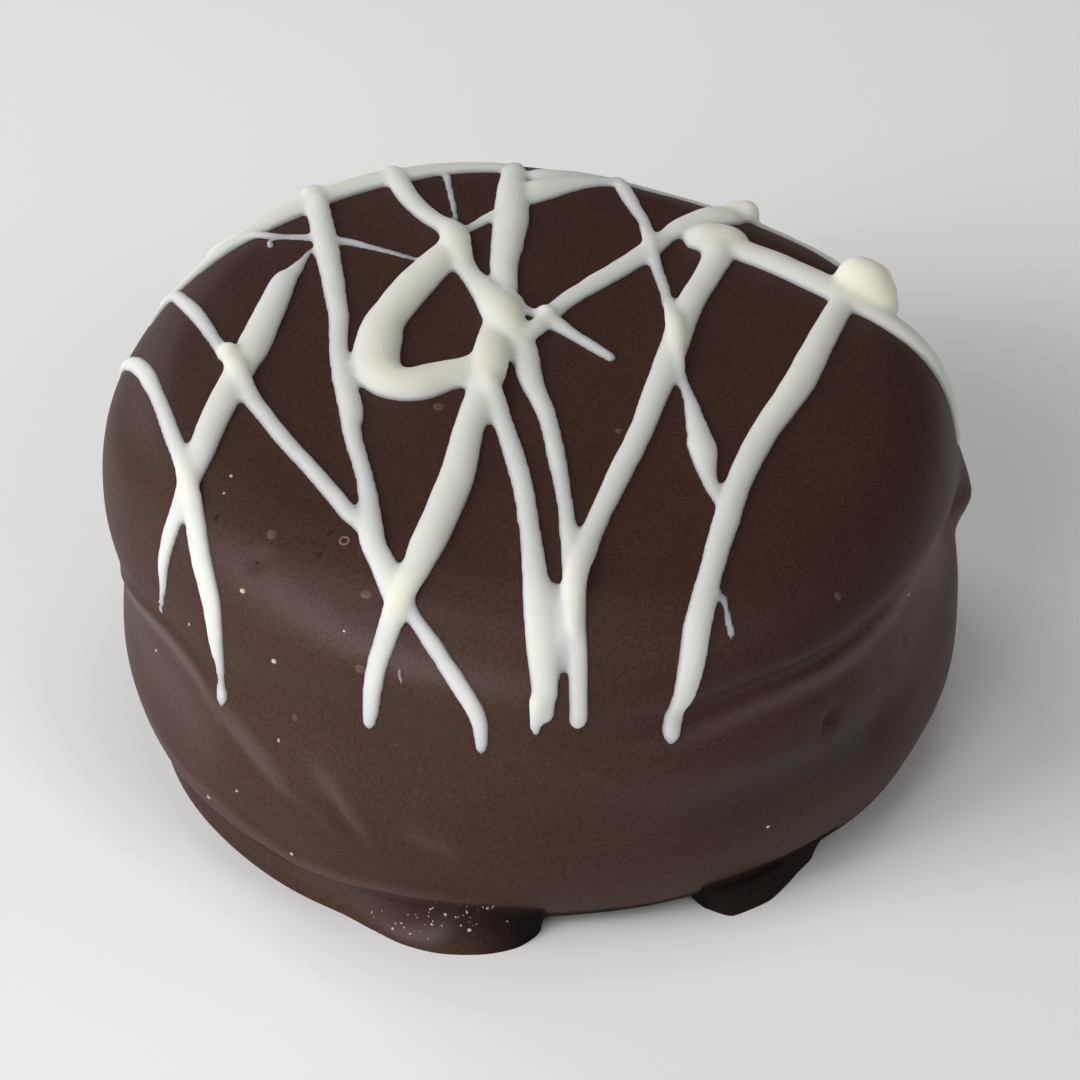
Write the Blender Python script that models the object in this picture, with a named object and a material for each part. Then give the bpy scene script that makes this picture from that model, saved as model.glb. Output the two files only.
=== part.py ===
"""Chocolate coated cornstarch alfajor with white chocolate drizzled over it.

Two biscuit discs stand on each other inside one dark chocolate coat, so the outside shows
two rounded edges with a shallow waist between them.  The upper disc sits a little askew.
Thin feet of chocolate have run out on the floor along the front.

Sizes are in millimetres.  A place on the coat is written (u, v): it lies hypot(u, v)
from the middle of the top, measured along the coat over the rim and down the side, in
the direction of (u, v).
"""

import math

import bmesh
import bpy
from mathutils import Vector

MM = 0.001

# Turned shape of the coat: radius and height, from the middle of the top to the underside
COAT_PROFILE = (
    (0.0, 28.2),
    (12.0, 28.05),
    (20.0, 27.75),
    (24.0, 27.4),
    (25.8, 26.95),
    (27.4, 26.1),
    (28.6, 24.9),
    (29.4, 23.3),
    (29.85, 21.1),
    (30.0, 18.8),
    (29.95, 16.4),
    (29.9, 14.0),
    (29.9, 11.8),
    (29.95, 9.4),
    (29.9, 7.0),
    (29.4, 4.7),
    (28.4, 2.4),
    (27.4, 1.2),
    (26.2, 0.4),
    (24.5, 0.0),
)
SEGMENTS = 90
TOP_RINGS = (6.0, 13.0)
TABLE_STEPS = 8

# The upper disc is shifted, tilted and out of round: waves around, size, direction
SHIFT_FROM = 10.0
SHIFT_OVER = 6.0
UPPER_SHIFT = (-0.3, 0.45)
RISE_TO_BACK = math.tan(math.radians(-0.3))
RISE_TO_RIGHT = math.tan(math.radians(-2.8))
UPPER_OVAL = ((2, -0.7, 90.0), (3, 0.33, 220.0), (4, 0.86, 90.0))
LOWER_OVAL = ((2, 0.22, 105.0), (4, 0.15, 190.0))

# Waist between the discs: direction in degrees, height, depth and half width
WAIST = (
    (0, 17.2, 1.1, 2.6),
    (90, 16.0, 0.8, 3.0),
    (180, 14.6, 0.8, 3.0),
    (205, 14.2, 0.8, 3.0),
    (225, 14.6, 0.5, 3.0),
    (250, 16.5, 0.2, 2.6),
    (270, 18.6, 0.3, 2.3),
    (285, 20.0, 0.6, 2.1),
    (300, 21.4, 0.8, 2.2),
    (320, 21.3, 0.9, 2.5),
    (340, 19.0, 1.15, 2.6),
)

# Feet run out on the floor: direction in degrees and reach from the middle axis
FOOT_HEIGHT = 2.2
FOOT_SLOPE = 2.2
FOOT_BLEND = 0.7
NO_FOOT = 26.2
FEET = (
    (0, NO_FOOT),
    (90, NO_FOOT),
    (165, NO_FOOT),
    (195, 27.9),
    (220, 28.6),
    (237, 29.2),
    (252, 30.3),
    (260, 30.5),
    (266, 29.6),
    (271, NO_FOOT),
    (291, NO_FOOT),
    (297, 29.2),
    (304, 29.1),
    (312, 27.7),
    (320, NO_FOOT),
)

# Lump of chocolate on the right side: direction in degrees, height, size and standing out
LUMP_ANGLE = 4.0
LUMP_HEIGHT = 17.2
LUMP_RADIUS = 2.0
LUMP_RISE = 1.9

# Drizzle: how it sits on the coat
GAP = 0.3
GAP_STEP = 0.02
STATION_SPACING = 1.6
SECTION = ((-0.5, 0.0), (-0.47, 0.35), (-0.28, 0.82), (0.0, 1.0), (0.28, 0.82), (0.47, 0.35), (0.5, 0.0))
HEIGHT_SHARE = 0.52
END_SHARE = 0.45

# Strands of the drizzle: name, then u, v and width at each point of the route
STRANDS = {
    "left_thin": (
        (-30.3, 4.2, 0.6), (-28.5, 2.3, 0.9), (-26.4, -2.2, 1.1), (-25.4, -5.0, 1.2),
        (-23.9, -9.7, 1.3), (-23.4, -13.1, 1.3), (-23.6, -17.3, 1.4), (-24.7, -21.4, 1.9),
        (-26.0, -23.1, 1.9), (-27.7, -24.4, 1.7), (-29.4, -25.3, 1.4), (-30.4, -26.3, 0.7),
        (-30.8, -27.1, 1.3),
    ),
    "left_thick": (
        (-15.9, 13.7, 0.5), (-16.7, 12.0, 0.8), (-17.4, 10.7, 1.4), (-18.1, 9.5, 2.0),
        (-19.1, 4.8, 2.4), (-19.7, 0.8, 2.6), (-20.3, -2.0, 2.3), (-21.6, -7.3, 2.3),
        (-22.8, -11.8, 2.0), (-24.5, -15.0, 1.7), (-26.2, -16.5, 1.7), (-27.9, -17.5, 1.5),
        (-29.6, -18.6, 1.1), (-32.5, -19.5, 0.6),
    ),
    "left_cross": (
        (-27.8, 11.6, 1.3), (-26.4, 10.3, 1.2), (-25.3, 8.0, 1.3), (-24.1, 5.6, 1.4),
        (-22.3, 1.9, 1.2), (-21.0, -0.3, 1.7), (-19.6, -3.9, 1.6), (-17.7, -7.9, 1.5),
        (-15.5, -13.1, 1.5), (-13.4, -18.4, 1.5), (-12.5, -19.7, 1.6),
    ),
    "long_back": (
        (-15.6, 22.0, 1.4), (-15.1, 17.4, 1.7), (-14.6, 11.6, 1.9), (-14.0, 5.2, 1.6),
        (-13.7, 0.8, 1.5), (-12.6, -5.8, 1.9), (-12.6, -8.8, 1.5), (-12.0, -15.2, 1.4),
        (-11.8, -21.2, 1.9), (-11.2, -23.3, 1.9), (-9.9, -26.3, 2.2), (-8.9, -27.8, 1.3),
        (-7.6, -29.7, 1.4), (-5.5, -33.5, 1.6), (-4.9, -35.5, 1.6), (-5.1, -38.4, 1.2),
    ),
    "loop": (
        (-6.6, 13.7, 2.4), (-8.5, 9.1, 3.0), (-10.5, 5.3, 3.1), (-11.0, 3.1, 3.1),
        (-11.0, 0.8, 3.0), (-11.0, -1.5, 3.0), (-10.1, -2.8, 3.3), (-8.4, -2.9, 3.2),
        (-6.7, -1.8, 3.0), (-4.3, -0.9, 2.6),
    ),
    "middle_back": (
        (-9.5, 22.1, 1.8), (-8.5, 19.5, 1.9), (-7.2, 17.4, 1.9), (-5.8, 15.9, 2.2),
        (-5.5, 13.7, 2.3), (-5.0, 11.6, 1.9), (-4.2, 9.9, 2.0), (-2.8, 7.3, 3.0),
        (-2.2, 4.2, 3.0), (-1.1, 1.6, 1.8), (-0.5, -2.4, 1.5), (0.8, -6.7, 1.2),
        (1.5, -12.0, 1.2), (2.0, -17.3, 1.1), (2.4, -22.7, 1.7), (2.6, -27.4, 1.5),
        (2.9, -31.6, 1.4), (3.1, -34.7, 1.1),
    ),
    "middle_thick": (
        (-3.1, 3.0, 2.4), (-3.3, -1.3, 2.8), (-3.9, -4.5, 2.4), (-4.8, -8.8, 2.3),
        (-5.6, -13.9, 2.6), (-6.9, -19.0, 2.7), (-7.7, -21.6, 2.7), (-8.4, -23.7, 2.4),
        (-9.5, -25.9, 2.1), (-10.8, -28.2, 1.9), (-12.7, -30.8, 1.9), (-14.9, -34.2, 1.7),
        (-16.0, -35.8, 1.2),
    ),
    "middle_front": (
        (-2.6, -3.5, 1.3), (-2.0, -8.8, 1.4), (-1.0, -14.3, 1.4), (-0.4, -20.1, 1.6),
        (-0.1, -24.0, 1.9), (0.2, -28.2, 2.2), (0.6, -31.8, 2.2), (0.6, -34.0, 2.1),
        (0.5, -35.6, 1.4),
    ),
    "back_straight": (
        (-1.4, 26.5, 1.4), (-1.6, 23.3, 2.1), (-1.7, 18.0, 2.7), (-2.2, 11.6, 2.2),
        (-2.0, 7.8, 1.8),
    ),
    "back_link": ((-2.4, 18.6, 1.0), (-3.8, 17.1, 1.0), (-5.2, 15.6, 1.0)),
    "slant_back": (
        (0.2, 5.4, 2.2), (2.2, 8.0, 1.7), (4.1, 10.1, 1.9), (6.3, 12.7, 2.0),
        (8.2, 15.2, 2.0), (9.7, 17.6, 1.6), (11.2, 19.7, 1.7), (13.2, 21.7, 2.0),
        (15.0, 22.6, 2.8), (16.4, 23.2, 2.6),
    ),
    "stub": ((0.2, 6.4, 1.6), (2.2, 4.8, 1.2), (4.0, 2.8, 1.2), (5.1, 1.3, 0.9)),
    "knot_link": ((-2.4, 6.6, 1.4), (-0.8, 6.4, 1.3), (0.7, 6.4, 1.8)),
    "right_thin": (
        (6.0, 26.3, 1.2), (6.9, 23.3, 1.4), (7.5, 21.2, 1.2), (8.2, 19.1, 1.1),
        (8.6, 14.8, 1.1), (9.4, 10.5, 0.8), (9.9, 7.0, 0.9),
    ),
    "right_beaded": (
        (9.8, 0.5, 0.9), (10.7, -3.5, 1.1), (11.1, -7.5, 1.8), (11.2, -9.2, 2.2),
        (11.4, -12.6, 1.3), (12.3, -15.9, 1.0),
    ),
    "right_long": (
        (13.7, 19.6, 3.0), (13.4, 17.6, 4.2), (13.1, 15.0, 2.4), (12.2, 12.2, 2.1),
        (10.7, 7.3, 2.2), (9.6, 2.4, 2.2), (8.5, -2.4, 2.1), (7.2, -7.1, 1.9),
        (5.5, -12.2, 1.9), (4.1, -16.9, 1.7), (3.1, -21.0, 1.8), (2.5, -24.0, 1.8),
    ),
    "far_right": (
        (21.8, 10.2, 1.8), (21.1, 8.4, 1.7), (19.6, 4.1, 2.0), (18.3, -0.8, 2.6),
        (16.9, -4.2, 2.2), (15.5, -7.4, 2.1), (13.3, -12.8, 2.0), (12.1, -16.7, 2.0),
        (11.0, -21.2, 1.8), (10.1, -25.2, 2.0), (10.0, -27.4, 2.1), (9.8, -31.6, 1.5),
        (10.3, -34.8, 1.2),
    ),
    "right_rim": (
        (13.8, 17.3, 2.4), (16.5, 15.2, 2.4), (18.6, 13.5, 2.4), (21.8, 10.7, 2.8),
        (23.5, 9.0, 2.5), (25.5, 7.1, 2.5), (27.6, 5.4, 2.3), (29.7, 3.7, 1.8),
        (31.5, 1.6, 0.9),
    ),
    "rim_drop": ((21.6, 10.8, 3.0), (22.8, 12.4, 5.0), (24.4, 14.0, 6.0), (26.0, 15.4, 4.6)),
    "back_rim_left": (
        (-20.6, 17.4, 0.9), (-17.6, 19.0, 1.4), (-14.6, 20.3, 1.8), (-11.6, 21.3, 2.0),
        (-9.0, 22.2, 1.8), (-6.0, 23.4, 1.4), (-1.5, 24.4, 1.4),
    ),
    "back_rim_right": ((-0.6, 20.4, 1.6), (2.0, 22.3, 2.2), (4.5, 24.0, 2.1), (7.0, 24.4, 1.5)),
    "back_thin": (
        (-21.5, 16.2, 0.8), (-17.9, 15.4, 1.0), (-13.8, 14.6, 1.1), (-10.4, 13.2, 0.9),
        (-8.0, 12.0, 0.7),
    ),
}
BASE_STRAND = "long_back"

CHOCOLATE_BROWN = (0.042, 0.021, 0.016, 1.0)
CHOCOLATE_ROUGHNESS = 0.45
WHITE_CHOCOLATE = (0.72, 0.73, 0.64, 1.0)
WHITE_ROUGHNESS = 0.5


def smooth_step(value):
    """Ease from 0 to 1 while value goes from 0 to 1."""
    share = min(max(value, 0.0), 1.0)
    return share * share * (3.0 - 2.0 * share)


def smooth_line(points, steps):
    """Points along a smooth line through all the given points."""
    line = []
    last = len(points) - 1
    for index in range(last):
        before = points[max(index - 1, 0)]
        start = points[index]
        end = points[index + 1]
        after = points[min(index + 2, last)]
        for step in range(steps):
            t = step / steps
            line.append(tuple(
                0.5 * (2 * b + (c - a) * t + (2 * a - 5 * b + 4 * c - d) * t * t
                       + (3 * b - a - 3 * c + d) * t ** 3)
                for a, b, c, d in zip(before, start, end, after)
            ))
    line.append(tuple(points[last]))
    return line


def around(stations, degrees):
    """Values at a direction, eased between the stations given around the alfajor."""
    degrees %= 360.0
    for index, station in enumerate(stations):
        following = stations[(index + 1) % len(stations)]
        end = following[0] if following[0] > station[0] else following[0] + 360.0
        if station[0] <= degrees <= end:
            share = smooth_step((degrees - station[0]) / (end - station[0]))
            return [a + (b - a) * share for a, b in zip(station[1:], following[1:])]
    return list(stations[0][1:])


def profile_table():
    """Distance from the middle of the top, radius and height along the turned shape."""
    table = []
    distance = 0.0
    previous = None
    for radius, height in smooth_line(COAT_PROFILE, TABLE_STEPS):
        if previous is not None:
            distance += math.hypot(radius - previous[0], height - previous[1])
        table.append((distance, radius, height))
        previous = (radius, height)
    return table


PROFILE = profile_table()


def profile_at(distance):
    """Radius and height of the turned shape at a distance along it."""
    for (d0, r0, h0), (d1, r1, h1) in zip(PROFILE, PROFILE[1:]):
        if distance <= d1:
            share = (distance - d0) / (d1 - d0)
            return r0 + (r1 - r0) * share, h0 + (h1 - h0) * share
    return PROFILE[-1][1:]


def out_of_round(waves, angle):
    """How far the outline stands out of its circle in a direction."""
    return sum(size * math.cos(count * angle - math.radians(phase)) for count, size, phase in waves)


def shape_coat(radius, height, angle):
    """Place a point of the turned shape on the real, uneven coat."""
    degrees = math.degrees(angle)
    upper = smooth_step((height - SHIFT_FROM) / SHIFT_OVER)
    edge_share = smooth_step(radius / NO_FOOT) * min(radius / NO_FOOT, 1.0)
    oval = upper * out_of_round(UPPER_OVAL, angle) + (1.0 - upper) * out_of_round(LOWER_OVAL, angle)
    reach = radius + oval * edge_share

    waist_height, waist_depth, waist_width = around(WAIST, degrees)
    reach -= waist_depth * math.exp(-((height - waist_height) / waist_width) ** 2)

    foot_reach = around(FEET, degrees)[0]
    foot_edge = foot_reach - FOOT_SLOPE * (height / FOOT_HEIGHT) ** 2
    foot_share = smooth_step((FOOT_HEIGHT - height) / FOOT_BLEND)
    reach = max(reach, reach + (foot_edge - reach) * foot_share)

    lump_across = reach * math.radians((degrees - LUMP_ANGLE + 180.0) % 360.0 - 180.0)
    lump_off = math.hypot(lump_across, height - LUMP_HEIGHT) / LUMP_RADIUS
    reach += LUMP_RISE * math.exp(-lump_off ** 2)

    x = reach * math.cos(angle) + UPPER_SHIFT[0] * upper
    y = reach * math.sin(angle) + UPPER_SHIFT[1] * upper
    z = height + upper * (x * RISE_TO_RIGHT + y * RISE_TO_BACK)
    return Vector((x, y, z))


def coat_point(u, v):
    """Point of the coat at the place (u, v)."""
    radius, height = profile_at(math.hypot(u, v))
    return shape_coat(radius, height, math.atan2(v, u))


def coat_normal(u, v):
    """Outward direction of the coat at the place (u, v)."""
    step = 0.4
    along_u = coat_point(u + step, v) - coat_point(u - step, v)
    along_v = coat_point(u, v + step) - coat_point(u, v - step)
    return along_u.cross(along_v).normalized()


def new_object(name, bm):
    """Turn a bmesh in millimetres into a named object in metres."""
    for vertex in bm.verts:
        vertex.co *= MM
    mesh = bpy.data.meshes.new(name)
    bm.to_mesh(mesh)
    bm.free()
    mesh.shade_smooth()
    thing = bpy.data.objects.new(name, mesh)
    bpy.context.scene.collection.objects.link(thing)
    return thing


def skin_rings(bm, rings):
    """Join each ring of corners to the next one with four-sided faces."""
    for ring, following in zip(rings, rings[1:]):
        count = len(ring)
        for index in range(count):
            after = (index + 1) % count
            bm.faces.new((ring[index], following[index], following[after], ring[after]))


def make_coat():
    """The coated alfajor: rings of the turned shape, bent to the uneven coat."""
    bm = bmesh.new()
    inner = [(radius, profile_at(radius)[1]) for radius in TOP_RINGS]
    outline = inner + [point for point in COAT_PROFILE if point[0] > TOP_RINGS[-1]]
    rings = []
    for radius, height in outline:
        ring = []
        for segment in range(SEGMENTS):
            angle = 2.0 * math.pi * segment / SEGMENTS
            ring.append(bm.verts.new(shape_coat(radius, height, angle)))
        rings.append(ring)
    skin_rings(bm, rings)
    middle = bm.verts.new(shape_coat(0.0, COAT_PROFILE[0][1], 0.0))
    for index in range(SEGMENTS):
        bm.faces.new((middle, rings[0][index], rings[0][(index + 1) % SEGMENTS]))
    bm.faces.new(list(reversed(rings[-1])))
    return new_object("coated_alfajor", bm)


def strand_stations(route):
    """Evenly spaced points (u, v, width) along a strand's route."""
    line = smooth_line(route, TABLE_STEPS)
    stations = [line[0]]
    travelled = 0.0
    for before, point in zip(line, line[1:]):
        travelled += math.hypot(point[0] - before[0], point[1] - before[1])
        if travelled >= STATION_SPACING:
            stations.append(point)
            travelled = 0.0
    if travelled < STATION_SPACING / 2:
        stations.pop()
    stations.append(line[-1])
    return stations


def strand_ring(bm, place, direction, scale, lift):
    """One cross-section of a strand, flat side down on the coat."""
    u, v, width = place
    normal = coat_normal(u, v)
    along = direction - normal * direction.dot(normal)
    across = along.normalized().cross(normal)
    base = coat_point(u, v) + normal * lift
    ring = []
    for side, rise in SECTION:
        offset = across * side * width * scale
        offset += normal * rise * width * HEIGHT_SHARE * scale
        ring.append(bm.verts.new(base + offset))
    return ring


def make_strand(name, route, lift):
    """A strand of drizzle: its cross-section carried along the route, with blunt ends."""
    bm = bmesh.new()
    stations = strand_stations(route)
    points = [coat_point(u, v) for u, v, width in stations]
    last = len(stations) - 1
    rings = []
    for index, place in enumerate(stations):
        direction = points[min(index + 1, last)] - points[max(index - 1, 0)]
        scale = END_SHARE if index in (0, last) else 1.0
        rings.append(strand_ring(bm, place, direction, scale, lift))
    skin_rings(bm, rings)
    bm.faces.new(list(reversed(rings[0])))
    bm.faces.new(rings[-1])
    bmesh.ops.recalc_face_normals(bm, faces=bm.faces)
    return new_object(name, bm)


def make_drizzle():
    """All strands, joined into one piece of white chocolate."""
    others = bpy.data.collections.new("drizzle_strands")
    bpy.context.scene.collection.children.link(others)
    drizzle = None
    for order, (name, route) in enumerate(STRANDS.items()):
        strand = make_strand(name, route, GAP + GAP_STEP * order)
        if name == BASE_STRAND:
            drizzle = strand
            continue
        bpy.context.scene.collection.objects.unlink(strand)
        others.objects.link(strand)
        strand.hide_render = True
        strand.display_type = "WIRE"
    drizzle.name = "white_drizzle"
    join = drizzle.modifiers.new("join_strands", "BOOLEAN")
    join.operation = "UNION"
    join.operand_type = "COLLECTION"
    join.collection = others
    join.solver = "EXACT"
    return drizzle


def paint(thing, name, colour, roughness):
    """Give an object its material."""
    material = bpy.data.materials.new(name)
    material.use_nodes = True
    shader = material.node_tree.nodes["Principled BSDF"]
    shader.inputs["Base Color"].default_value = colour
    shader.inputs["Roughness"].default_value = roughness
    shader.inputs["Metallic"].default_value = 0.0
    thing.data.materials.append(material)


for old in list(bpy.data.objects):
    bpy.data.objects.remove(old)

paint(make_coat(), "dark_chocolate", CHOCOLATE_BROWN, CHOCOLATE_ROUGHNESS)
paint(make_drizzle(), "white_chocolate", WHITE_CHOCOLATE, WHITE_ROUGHNESS)
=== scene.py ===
"""Chocolate coated alfajor with white chocolate drizzle, standing on a pale floor.

The coat is a turned shape pushed into its real, uneven form.  The drizzle is laid strand by
strand over it, the strands melt into each other where they meet, and crumbs and small flaws
are added on top.  Lengths are in millimetres until a mesh is turned into metres.

A place on the coat is written (u, v): it lies hypot(u, v) from the middle of the top,
measured along the coat over the rim and down the side, in the direction of (u, v).
"""

import math
import random

import bmesh
import bpy
from mathutils import Matrix, Vector, kdtree, noise


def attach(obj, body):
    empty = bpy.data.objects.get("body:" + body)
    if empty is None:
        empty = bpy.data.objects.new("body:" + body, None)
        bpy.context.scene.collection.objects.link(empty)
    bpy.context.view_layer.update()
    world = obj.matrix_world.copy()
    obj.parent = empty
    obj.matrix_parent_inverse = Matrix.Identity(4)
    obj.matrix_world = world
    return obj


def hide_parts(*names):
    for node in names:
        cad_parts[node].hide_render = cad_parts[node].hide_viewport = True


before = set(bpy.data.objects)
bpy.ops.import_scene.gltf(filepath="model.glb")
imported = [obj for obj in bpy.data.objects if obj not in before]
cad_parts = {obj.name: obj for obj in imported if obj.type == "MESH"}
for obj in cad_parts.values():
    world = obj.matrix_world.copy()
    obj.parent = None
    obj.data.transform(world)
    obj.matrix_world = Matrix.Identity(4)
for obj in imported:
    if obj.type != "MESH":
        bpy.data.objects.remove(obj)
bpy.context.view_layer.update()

MM = 0.001
SEED = 27

# Turned shape of the coat: radius and height, from the middle of the top to the underside
COAT_PROFILE = (
    (0.0, 28.2), (12.0, 28.05), (20.0, 27.75), (24.0, 27.4), (25.8, 26.95), (27.4, 26.1),
    (28.6, 24.9), (29.4, 23.3), (29.85, 21.1), (30.0, 18.8), (29.95, 16.4), (29.9, 14.0),
    (29.9, 11.8), (29.95, 9.4), (29.9, 7.0), (29.4, 4.7), (28.4, 2.4), (27.4, 1.2), (26.2, 0.4),
    (24.5, 0.0),
)

# How finely the coat is divided: steps between the points of the profile, the spacing of its rings
# down to a height, rings of the underside, steps around and how much they crowd at the front, and
# how near two points are joined
PROFILE_STEPS = 12
RING_ZONES = ((27.4, 1.0), (4.5, 0.26), (0.0, 0.2))
UNDERSIDE_RINGS = (20.0, 14.0, 7.0, 0.0)
TURN_STEPS = 520
FRONT_CROWDING = 0.4
SAME_PLACE = 0.001

# Parts of a turn in the tables around the alfajor, and the step over which a slope is measured
TABLE_PARTS = 1440
SLOPE_STEP = 0.3

# The upper disc begins at a height and is full some way above it.  It is shifted, tilted and out
# of round, and the lower one is a little out of round too: waves around, size, direction.
SHIFT_FROM = 10.0
SHIFT_OVER = 6.0
UPPER_SHIFT = (-0.3, 0.45)
RISE_TO_BACK = math.tan(math.radians(-0.3))
RISE_TO_RIGHT = math.tan(math.radians(-2.8))
UPPER_OVAL = ((2, -0.7, 90.0), (3, 0.33, 220.0), (4, 0.86, 90.0))
LOWER_OVAL = ((2, 0.22, 105.0), (4, 0.15, 190.0))

# Waist between the discs: direction in degrees, height, depth, half width above and below
WAIST = (
    (0, 17.2, 1.3, 1.8, 3.0),
    (90, 16.0, 0.8, 3.0, 3.0),
    (180, 14.6, 0.8, 3.0, 3.0),
    (205, 14.2, 0.55, 2.2, 3.0),
    (225, 14.6, 0.3, 2.4, 3.0),
    (250, 16.5, 0.2, 2.6, 2.6),
    (270, 18.3, 0.4, 1.8, 2.4),
    (285, 19.5, 0.9, 1.5, 2.3),
    (300, 20.6, 1.4, 1.4, 2.3),
    (320, 20.5, 1.5, 1.4, 2.5),
    (340, 19.1, 1.5, 1.6, 2.8),
)

# The upper disc bulges at the front: direction in degrees and how far it is drawn out.  It is
# drawn towards the photograph's viewer, so the strands on it stay where the photo has them.  The
# bulge fades out up to its top and down to its foot.
FRONT_BULGE = (
    (0, 0.0), (206, 0.0), (216, 0.4), (228, 1.1), (243, 1.9), (256, 2.1), (268, 1.9),
    (280, 0.9), (292, 0.1), (305, 0.0),
)
BULGE_TOP = 25.7
BULGE_OVER = 5.7
BULGE_FOOT = 10.0
BULGE_FADE = 8.5

# Feet run out on the floor: direction in degrees and reach from the middle axis
NO_FOOT = 26.2
FEET = (
    (165, NO_FOOT), (185, 27.3), (202, 27.9), (219, 28.3), (234, 28.8), (241, 29.0),
    (247, 29.7), (252, 30.4), (256, 30.6), (261, 30.3), (266, 29.4), (269, 28.0),
    (271, NO_FOOT), (292, NO_FOOT), (294, 27.5), (297, 29.1), (302, 29.0), (306, 28.4),
    (310, 27.7), (315, 27.1), (320, NO_FOOT),
)

# Crease where the disc's lower edge rests on a foot, and how the foot spreads below it
CREASE_HEIGHT = 2.3
CREASE_DEPTH = 0.55
CREASE_WIDTH = 0.55
CREASE_REACH = 27.8
FOOT_SPREAD = 1.5
FOOT_START = 1.2

# Waviness and folds start at the floor and are full at this height
FLOOR_EASE = 0.7

# Lump of chocolate on the right side: direction in degrees, height, size and how far it stands out
LUMP_ANGLE = 4.0
LUMP_HEIGHT = 16.8
LUMP_RADIUS = 2.4
LUMP_RISE = 2.4

# Dimples, swellings, folds and streaks fade to nothing past this many half sizes
MARK_CUTOFF = 4.0
FOLD_CUTOFF = 3.0

# Dimples and swellings of the coat: u, v, half sizes along and across, turn, rise
MARKS = (
    (-19.9, -21.4, 0.9, 0.65, 20.0, -0.26),
    (-18.6, -22.6, 2.2, 1.2, -35.0, 0.07),
    (24.3, -29.6, 1.2, 0.55, 83.0, -0.45),
    (26.2, -30.6, 1.3, 0.45, 102.0, 0.13),
    (21.7, -29.9, 0.5, 0.4, 0.0, 0.07),
    (31.5, -20.1, 0.5, 0.4, 60.0, -0.13),
    (33.5, -28.0, 4.0, 2.6, 65.0, -0.34),
    (-15.6, -31.4, 2.4, 1.3, -35.0, 0.06),
    (6.7, -32.5, 1.2, 0.7, 10.0, 0.05),
    (28.4, 11.4, 5.0, 4.0, 22.0, -0.4),
)

# Folds in the coat: half width, rise at the middle of the fold, and its route in u and v
FOLDS = (
    (0.5, 0.3, ((-43.0, -3.0), (-40.0, -8.0), (-36.1, -14.3), (-32.9, -20.0), (-31.4, -25.0),
                (-30.9, -28.0))),
    (0.5, 0.42, ((-31.4, -26.0), (-30.4, -28.6), (-27.9, -32.4), (-25.9, -35.3), (-23.7, -37.1))),
    (1.0, 0.24, ((-25.0, -33.0), (-23.2, -36.6), (-21.2, -40.2), (-19.5, -43.0))),
    (0.5, 0.22, ((-22.8, -35.2), (-22.1, -36.2), (-19.8, -38.2), (-18.5, -41.1), (-17.9, -43.0))),
    (0.75, 0.2, ((-15.4, -40.9), (-13.0, -42.6), (-9.6, -44.4), (-8.0, -45.6))),
    (0.5, 0.5, ((-45.0, -17.0), (-39.9, -27.6), (-36.5, -32.0), (-32.9, -37.3), (-28.6, -42.0),
                (-22.9, -45.5), (-15.5, -48.5), (-9.5, -50.1), (-3.0, -51.0))),
    (0.9, 0.34, ((2.0, -36.4), (8.1, -35.4), (11.4, -33.9), (15.2, -31.4), (19.3, -28.7),
                 (22.6, -26.4), (25.9, -23.4), (30.2, -17.8), (35.5, -9.2), (38.5, -2.0))),
    (0.4, 0.15, ((26.4, -22.4), (27.8, -22.3), (29.8, -22.2), (34.5, -21.4))),
    (0.5, 0.12, ((27.4, -20.6), (28.7, -20.1), (31.9, -18.3), (34.0, -16.0))),
    (0.9, -0.16, ((25.6, -24.6), (28.7, -24.3), (32.1, -25.3), (33.9, -27.7))),
    (0.35, 0.35, ((22.6, -48.4), (25.0, -47.2), (28.0, -45.4), (31.0, -43.2), (33.0, -41.6))),
)

# Painted highlights along folds, rims and lit ledges of the coat, and painted shade with a negative
# share: half width, share and route
PAINTED_HIGHLIGHTS_AND_SHADE = (
    (0.45, 0.4, ((-43.5, -2.0), (-40.2, -9.8), (-34.9, -19.3), (-32.4, -25.0), (-31.2, -29.0))),
    (2.2, 0.16, ((-41.0, -12.0), (-37.5, -19.5), (-34.6, -26.0), (-31.0, -31.0))),
    (0.5, 0.24, ((-31.4, -26.0), (-30.4, -28.6), (-27.9, -32.4), (-25.9, -35.3), (-23.9, -38.1))),
    (0.6, 0.2, ((-22.1, -35.6), (-21.5, -36.8), (-19.8, -38.6), (-18.5, -41.1), (-17.7, -43.4))),
    (0.8, 0.1, ((-14.6, -41.7), (-12.4, -43.1), (-9.6, -44.6), (-8.0, -45.6))),
    (0.5, 0.24, ((-45.0, -17.0), (-39.9, -27.6), (-36.5, -32.0), (-32.9, -37.3), (-28.6, -42.0),
                 (-22.9, -45.5), (-15.5, -48.5), (-9.5, -50.1), (-3.0, -51.0))),
    (1.4, 0.16, ((-23.0, -19.0), (-20.9, -22.3), (-17.9, -25.4), (-14.6, -28.3), (-9.8, -31.0),
                 (-5.1, -32.1), (-0.4, -32.6), (4.0, -32.6))),
    (0.6, 0.28, ((6.0, -36.8), (11.4, -34.6), (15.2, -32.1), (19.3, -29.4), (22.6, -27.1),
                 (25.9, -24.1), (30.2, -18.6), (35.5, -9.9), (38.5, -2.0), (39.5, 12.0))),
    (1.6, 0.3, ((24.0, -27.5), (29.5, -21.4), (33.5, -15.6), (37.0, -9.5), (39.0, -3.0),
                (40.0, 5.0), (40.5, 11.0))),
    (3.0, -0.6, ((12.0, -42.5), (19.0, -38.5), (25.5, -33.0), (31.0, -29.5), (37.0, -25.0),
                 (42.0, -18.0))),
    (0.7, 0.4, ((-20.5, -51.2), (-16.0, -52.2), (-13.6, -52.6), (-12.0, -52.5), (-10.5, -52.3))),
    (1.6, -0.38, ((9.0, -30.0), (13.5, -28.8), (20.3, -24.6), (26.0, -17.6), (29.6, -10.0),
                  (31.4, -2.0), (32.0, 4.0))),
)
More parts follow.
